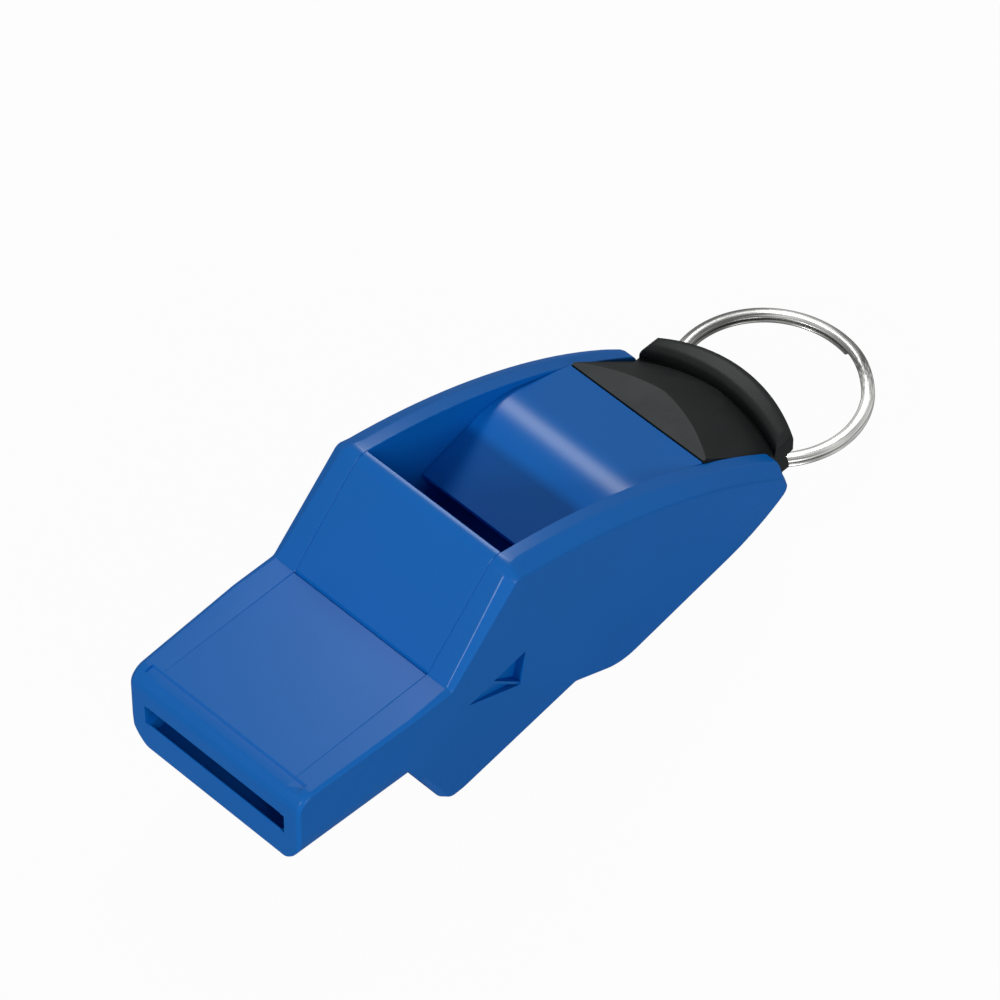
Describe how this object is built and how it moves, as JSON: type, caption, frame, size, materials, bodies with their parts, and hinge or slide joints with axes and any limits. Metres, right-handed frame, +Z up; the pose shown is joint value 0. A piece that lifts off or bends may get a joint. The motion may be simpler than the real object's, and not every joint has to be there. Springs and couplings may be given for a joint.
{
  "type": "pealess sports whistle",
  "caption": "Pealess sports whistle with a flat mouthpiece, stepped chamber body with a sound window on top, rubber tail cap and a hinged split ring for a lanyard.",
  "frame": {"origin": "middle of the bounding box's floor, on the ground under the whistle", "axes": "+X from the mouthpiece to the ring, +Y to the whistle's left, +Z up, with the foot and the belly on the ground"},
  "size_m": [0.0718, 0.02, 0.0217],
  "materials": {
    "body_plastic": "satin moulded",
    "cap_rubber": "matte",
    "ring_steel": "nickel plated"
  },
  "bodies": {
    "whistle": {"right_cover": "body_plastic", "left_cover": "body_plastic", "mouth_roof": "body_plastic", "mouth_floor": "body_plastic", "flue_divider": "body_plastic", "labium_deck": "body_plastic", "belly_shell": "body_plastic", "tail_cap": "cap_rubber"},
    "ring": {"split_ring": "ring_steel"}
  },
  "joints": [
    {"name": "ring_swing", "type": "hinge", "parent": "whistle", "child": "ring", "pos_m": [0.01896, 0, 0.0042], "axis": [0, -1, 0], "range_deg": [-30, 20]}
  ]
}
